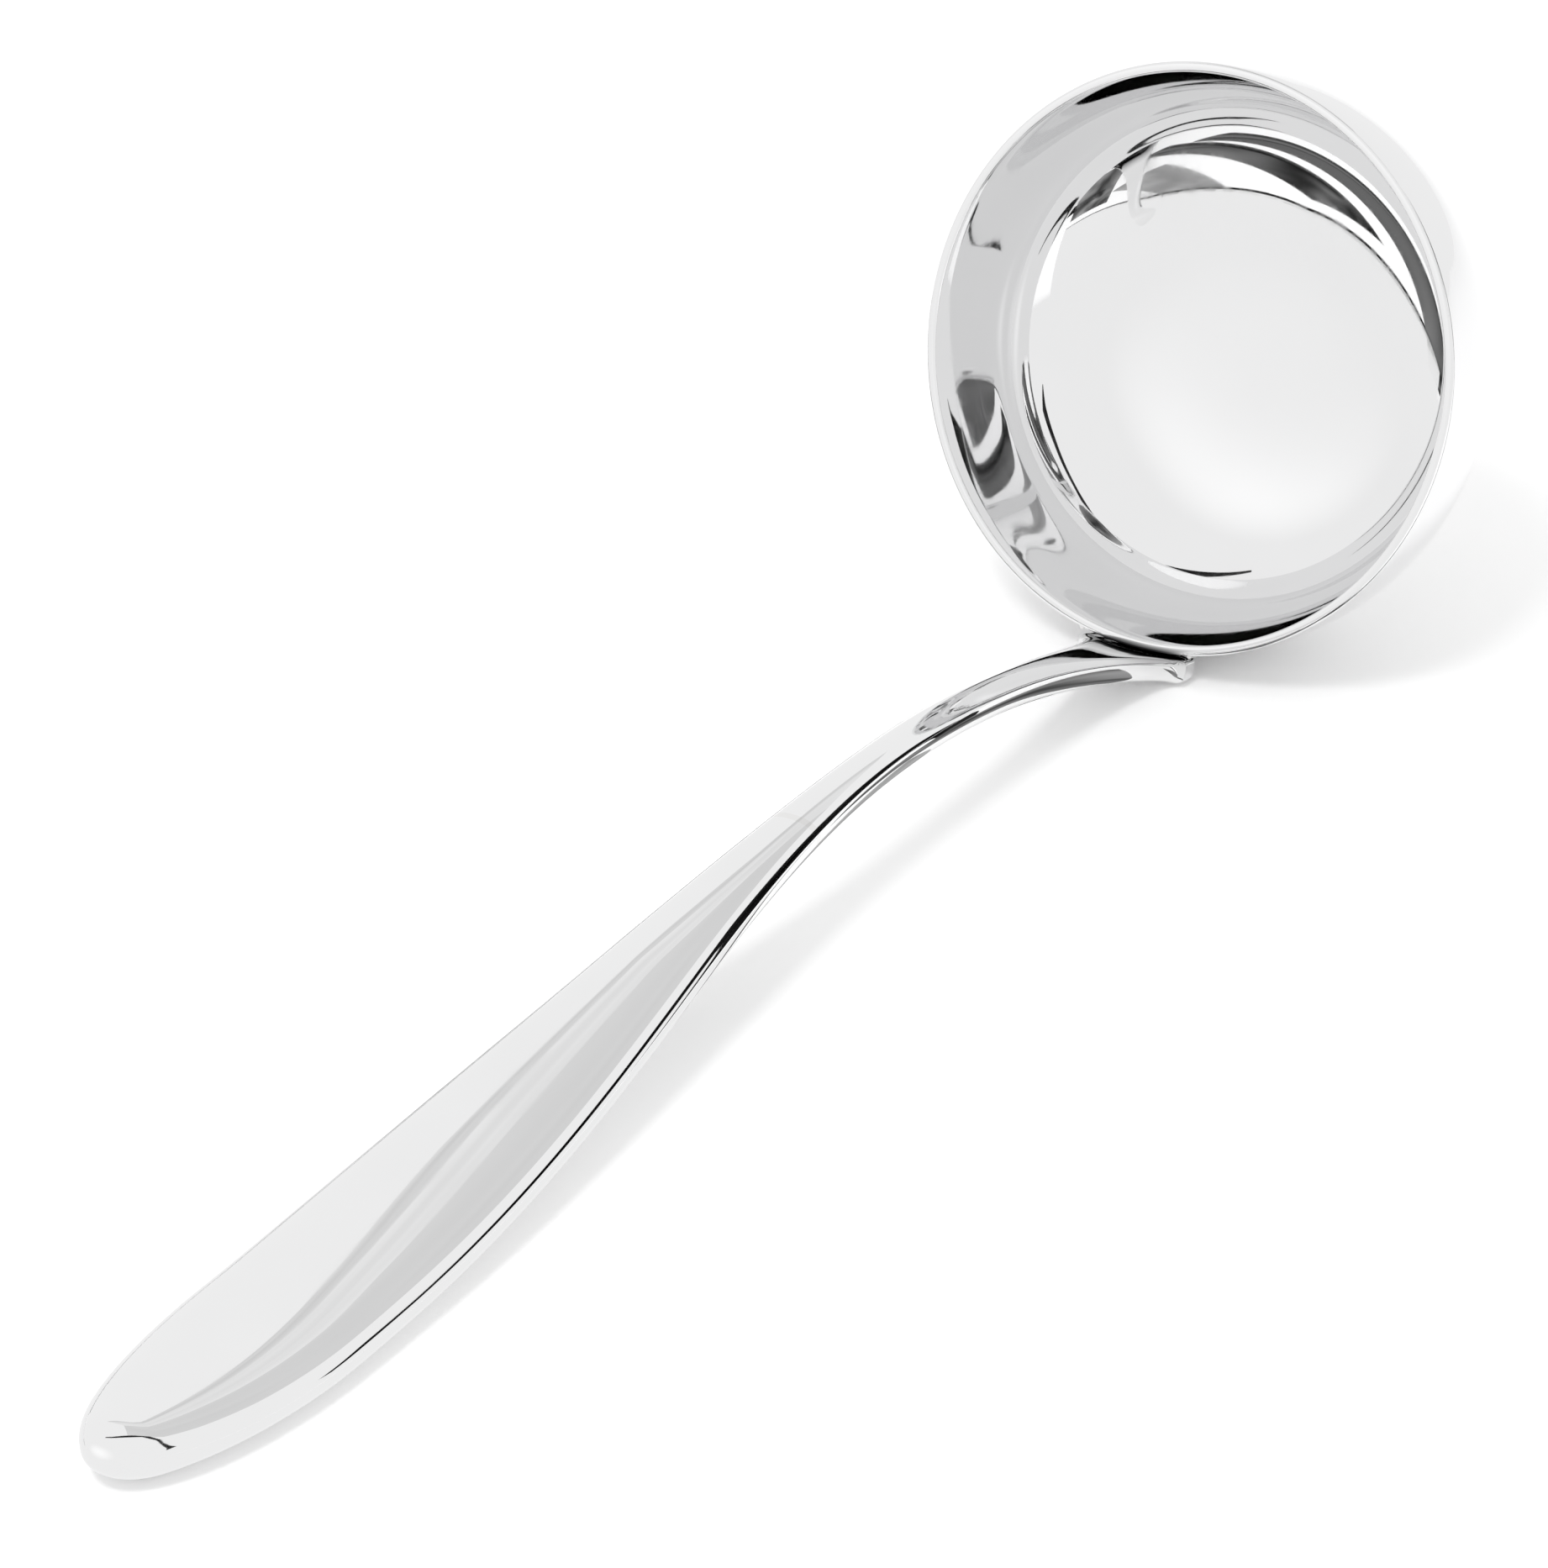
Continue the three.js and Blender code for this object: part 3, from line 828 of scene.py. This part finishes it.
def lay_floor(look):
    """A wide pale floor under the ladle."""
    bpy.ops.object.select_all(action="DESELECT")
    bpy.ops.mesh.primitive_plane_add(size=FLOOR_WIDTH)
    floor = bpy.context.object
    floor.name = "studio_floor"
    floor.data.materials.append(plain("floor_white", look.floor_colour))


def hang_card(name, corners, low, high, sharpness=0.5):
    """A four-cornered card that only the polished metal sees."""
    bpy.ops.object.select_all(action="DESELECT")
    bpy.ops.mesh.primitive_plane_add(size=1)
    card = bpy.context.object
    card.name = card.data.name = name
    for vertex, place in zip(card.data.vertices, (corners[0], corners[1], corners[3], corners[2])):
        vertex.co = place
    card.data.materials.append(glowing(name, low, high, sharpness))
    card.visible_camera = False
    card.visible_diffuse = False
    card.visible_shadow = False


def seen_from(eye, azimuth, elevation, distance):
    """A place in a direction, given in degrees, and at a distance from an eye."""
    a, e = math.radians(azimuth), math.radians(elevation)
    return eye + distance * Vector((math.cos(a) * math.cos(e), math.sin(a) * math.cos(e), math.sin(e)))


def on_floor(eye, azimuth, drop):
    """The place just over the floor that an eye sees at an azimuth and an angle under the level."""
    return seen_from(eye, azimuth, -drop, (eye.z - CARD_LIFT) / math.sin(math.radians(drop)))


def hang_screens(grip):
    """The post and rail beside the table and the screen behind it, as the handle mirrors them."""
    screens = [
        ("side_post", ((-46, -0.6), (-34, -0.6), (-35, 26), (-43, 26)), 0.7, 0.0, 0.02),
        ("side_rail", ((-35, 26), (-62, 23), (-62, 30), (-35, 41)), 0.7, 0.0, 0.02),
        ("far_screen_top", ((-12, 45), (54, 48), (66, 70), (-30, 70)), 1.1, 0.7, 0.74),
        ("far_screen_middle", ((2, 40.5), (62, 41), (54, 48), (-12, 45)), 1.12, 0.8, 0.9),
        ("far_screen_edge", ((8, 38.5), (64, 38.6), (62, 41), (2, 40.5)), 1.14, 0.66, 0.8),
    ]
    for name, corners, distance, low, high in screens:
        hang_card(name, [seen_from(grip, a, e, distance) for a, e in corners], low, high)


def hang_ceiling_gap(bowl):
    """The dark gap over the bowl, in strips from corner to corner: azimuth, elevation and width."""
    corners = [
        (-112, 26, 0.02), (-109, 33, 0.1), (-107, 45, 0.08), (-100, 60, 0.06), (-80, 74, 0.08),
        (30, 84, 0.12), (92, 78, 0.14), (105, 68, 0.12), (112, 52, 0.04),
    ]
    edges = []
    for azimuth, elevation, width in corners:
        inner = seen_from(bowl, azimuth, elevation, CEILING_HEIGHT)
        edges.append((inner, inner + Vector((width, 0, 0))))
    for i, (here, there) in enumerate(zip(edges, edges[1:])):
        hang_card(f"ceiling_gap_{i + 1}", [here[0], here[1], there[1], there[0]], 0.01, 0.05)


def lay_table_cards(bowl):
    """The gap behind the table, the foot of the backdrop and the dark streaks, as the bowl mirrors them."""
    laid = [
        ("table_gap_far", ((115, 4.2), (115, 5.2), (150, 8.4), (150, 6.8)), 0.0, 0.02),
        ("table_gap_middle", ((150, 6.8), (150, 8.4), (180, 19.5), (180, 18)), 0.0, 0.02),
        ("table_gap_near", ((180, 18), (180, 19.5), (-123, 33.6), (-123, 33)), 0.02, 0.2),
        ("backdrop_foot_far", ((115, 4.7), (150, 7.6), (150, 0.4), (115, 0.4)), 0.95, 0.95),
        ("backdrop_foot_middle", ((150, 7.6), (180, 18.7), (180, 0.4), (150, 0.4)), 0.95, 0.95),
        ("backdrop_foot_near", ((180, 18.7), (-123, 33.3), (-123, 0.4), (180, 0.4)), 0.95, 0.95),
        ("table_streak_far", ((108, 2), (124, 2), (156, 48), (138, 48)), 0.0, 0.22),
        ("table_streak_near", ((136, 11), (148, 11), (-178, 54), (163, 54)), 0.0, 0.22),
        ("table_shade_near", ((-158, 32), (-125, 37), (-118, 62), (-172, 62)), 0.04, 0.4),
        ("table_shade", ((160, 12), (176, 18), (-160, 38), (172, 36)), 0.3, 0.5),
    ]
    for name, corners, low, high in laid:
        hang_card(name, [on_floor(bowl, a, drop) for a, drop in corners], low, high)


def hang_cards(look):
    """Everything round the table that the polished metal mirrors, its corners as angles from an eye."""
    bowl = rim_centre()
    hang_screens(Vector((-0.02, 0, 0.015)))
    hang_ceiling_gap(bowl)
    lay_table_cards(bowl)
    lamp = ((120, -0.4), (-168, -0.4), (-168, 42), (120, 42))
    corners = [seen_from(bowl, a, e, LAMP_DISTANCE) for a, e in lamp]
    hang_card("broad_lamp", corners, look.room_colour[0], look.lamp_glow, sharpness=0)
    neck = Vector((0.04, 0, 0.02))
    foot = ((-42, 2), (-36, 2), (-34, 28), (-44, 28))
    hang_card("side_post_foot", [on_floor(neck, a, drop) for a, drop in foot], 0.0, 0.03)


def hang_light(name, place, aim, size, power):
    """A soft rectangular light at a place, turned to an aim."""
    bpy.ops.object.select_all(action="DESELECT")
    bpy.ops.object.light_add(type="AREA", location=place)
    lamp = bpy.context.object
    lamp.name = name
    lamp.data.shape = "RECTANGLE"
    lamp.data.size, lamp.data.size_y = size
    lamp.data.energy = power
    lamp.visible_glossy = False
    lamp.rotation_euler = (Vector(aim) - Vector(place)).to_track_quat("-Z", "Y").to_euler()
    return lamp


def set_camera(look):
    """The camera at its place round the ladle."""
    a, e = look.azimuth, look.elevation
    back = Vector((math.sin(a) * math.cos(e), -math.cos(a) * math.cos(e), math.sin(e)))
    level = Vector((math.cos(a), math.sin(a), 0))
    upright = back.cross(level)
    right = level * math.cos(look.roll) + upright * math.sin(look.roll)
    up = back.cross(right)
    aim = rim_centre() + Vector(look.aim)
    bpy.ops.object.select_all(action="DESELECT")
    bpy.ops.object.camera_add()
    camera = bpy.context.object
    camera.name = "studio_camera"
    turn = Matrix((right, up, back)).transposed().to_4x4()
    camera.matrix_world = Matrix.Translation(aim + back * look.distance) @ turn
    camera.data.lens = look.lens
    camera.data.sensor_width = 36
    camera.data.clip_start, camera.data.clip_end = 0.01, 20
    bpy.context.scene.camera = camera


def set_stage():
    """Floor, room, lights and camera."""
    scene = bpy.context.scene
    look = scene.ladle_studio
    lay_floor(look)
    world = bpy.data.worlds.new("studio_room")
    world.use_nodes = True
    world.node_tree.nodes["Background"].inputs["Color"].default_value = (*look.room_colour, 1)
    scene.world = world
    hang_cards(look)
    hang_light("overhead_softbox", (-0.72, 0, 1.3), (0, 0, 0), (0.34, 0.34), 5.5)
    scene.view_settings.view_transform = "Standard"
    set_camera(look)


# ---------- Operators, panel and registration ----------


class LADLE_OT_bowl(bpy.types.Operator):
    """Spin the bowl."""

    bl_idname = "ladle.bowl"
    bl_label = "Spin the bowl"

    def execute(self, context):
        spin_bowl()
        return {"FINISHED"}


class LADLE_OT_neck(bpy.types.Operator):
    """Forge the neck and its shoe."""

    bl_idname = "ladle.neck"
    bl_label = "Forge the neck"

    def execute(self, context):
        forge_neck()
        return {"FINISHED"}


class LADLE_OT_handle(bpy.types.Operator):
    """Strike the two halves of the hollow handle."""

    bl_idname = "ladle.handle"
    bl_label = "Strike the handle"

    def execute(self, context):
        strike_handle()
        return {"FINISHED"}


class LADLE_OT_solder(bpy.types.Operator):
    """Run the solder at the handle's mouth and round the shoe."""

    bl_idname = "ladle.solder"
    bl_label = "Run the solder"

    def execute(self, context):
        fill_mouth()
        run_bead()
        return {"FINISHED"}


class LADLE_OT_stage(bpy.types.Operator):
    """Set the floor, the lights and the camera."""

    bl_idname = "ladle.stage"
    bl_label = "Set the stage"

    def execute(self, context):
        set_stage()
        return {"FINISHED"}


OPERATORS = (LADLE_OT_bowl, LADLE_OT_neck, LADLE_OT_handle, LADLE_OT_solder, LADLE_OT_stage)


class LADLE_PT_panel(bpy.types.Panel):
    """The ladle's sizes and steps in the sidebar."""

    bl_idname = "LADLE_PT_panel"
    bl_label = "Silver soup ladle"
    bl_space_type = "VIEW_3D"
    bl_region_type = "UI"
    bl_category = "Ladle"

    def draw(self, context):
        for key, group in GROUPS.items():
            box = self.layout.box()
            for name in group.__annotations__:
                box.prop(getattr(context.scene, key), name)
        for step in OPERATORS:
            self.layout.operator(step.bl_idname)


GROUPS = {
    "ladle_bowl": BowlSizes,
    "ladle_handle": HandleSizes,
    "ladle_shoe": ShoeSizes,
    "ladle_finish": SilverFinish,
    "ladle_studio": StudioLook,
}


def register():
    for group in (*GROUPS.values(), *OPERATORS, LADLE_PT_panel):
        bpy.utils.register_class(group)
    for key, group in GROUPS.items():
        setattr(bpy.types.Scene, key, bpy.props.PointerProperty(type=group))


def unregister():
    for key in GROUPS:
        delattr(bpy.types.Scene, key)
    for group in (LADLE_PT_panel, *reversed(OPERATORS), *GROUPS.values()):
        bpy.utils.unregister_class(group)


def main():
    """Builds the ladle and its stage."""
    register()
    bpy.ops.ladle.bowl()
    bpy.ops.ladle.neck()
    bpy.ops.ladle.handle()
    bpy.ops.ladle.solder()
    bpy.ops.ladle.stage()


if __name__ == "__main__":
    main()
